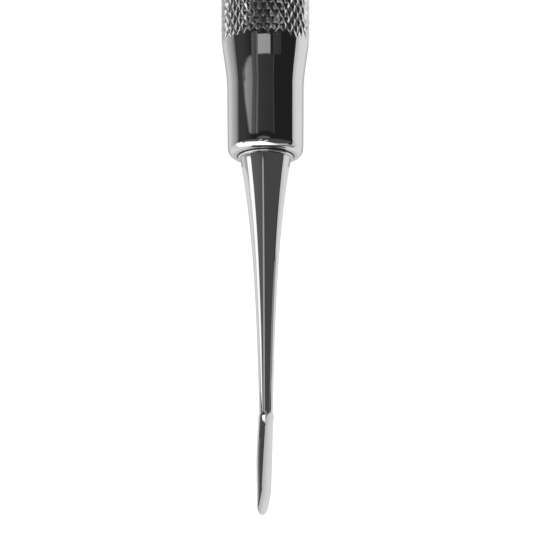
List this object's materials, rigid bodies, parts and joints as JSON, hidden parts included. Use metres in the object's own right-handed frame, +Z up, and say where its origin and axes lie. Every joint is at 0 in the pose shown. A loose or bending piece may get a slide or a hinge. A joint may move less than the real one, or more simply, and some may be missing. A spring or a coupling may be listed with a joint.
{
  "type": "fine-bladed hand instrument",
  "caption": "Slim polished steel hand instrument: round diamond-knurled handle, long tapered shank and a small rounded spatula blade.",
  "frame": {"origin": "on the surface that the tool lies on, under the middle of its whole length", "axes": "+Y along the tool's axis from the blade towards the rear plug, +Z up, +X to the right seen from the blade's end"},
  "size_m": [0.0096, 0.165, 0.0097],
  "materials": {
    "knurled_steel": "polished stainless steel, diamond knurled",
    "polished_steel": "mirror polished stainless steel"
  },
  "bodies": {
    "root": {"handle": "knurled_steel", "working_tip": "polished_steel", "end_plug": "polished_steel"}
  },
  "joints": []
}
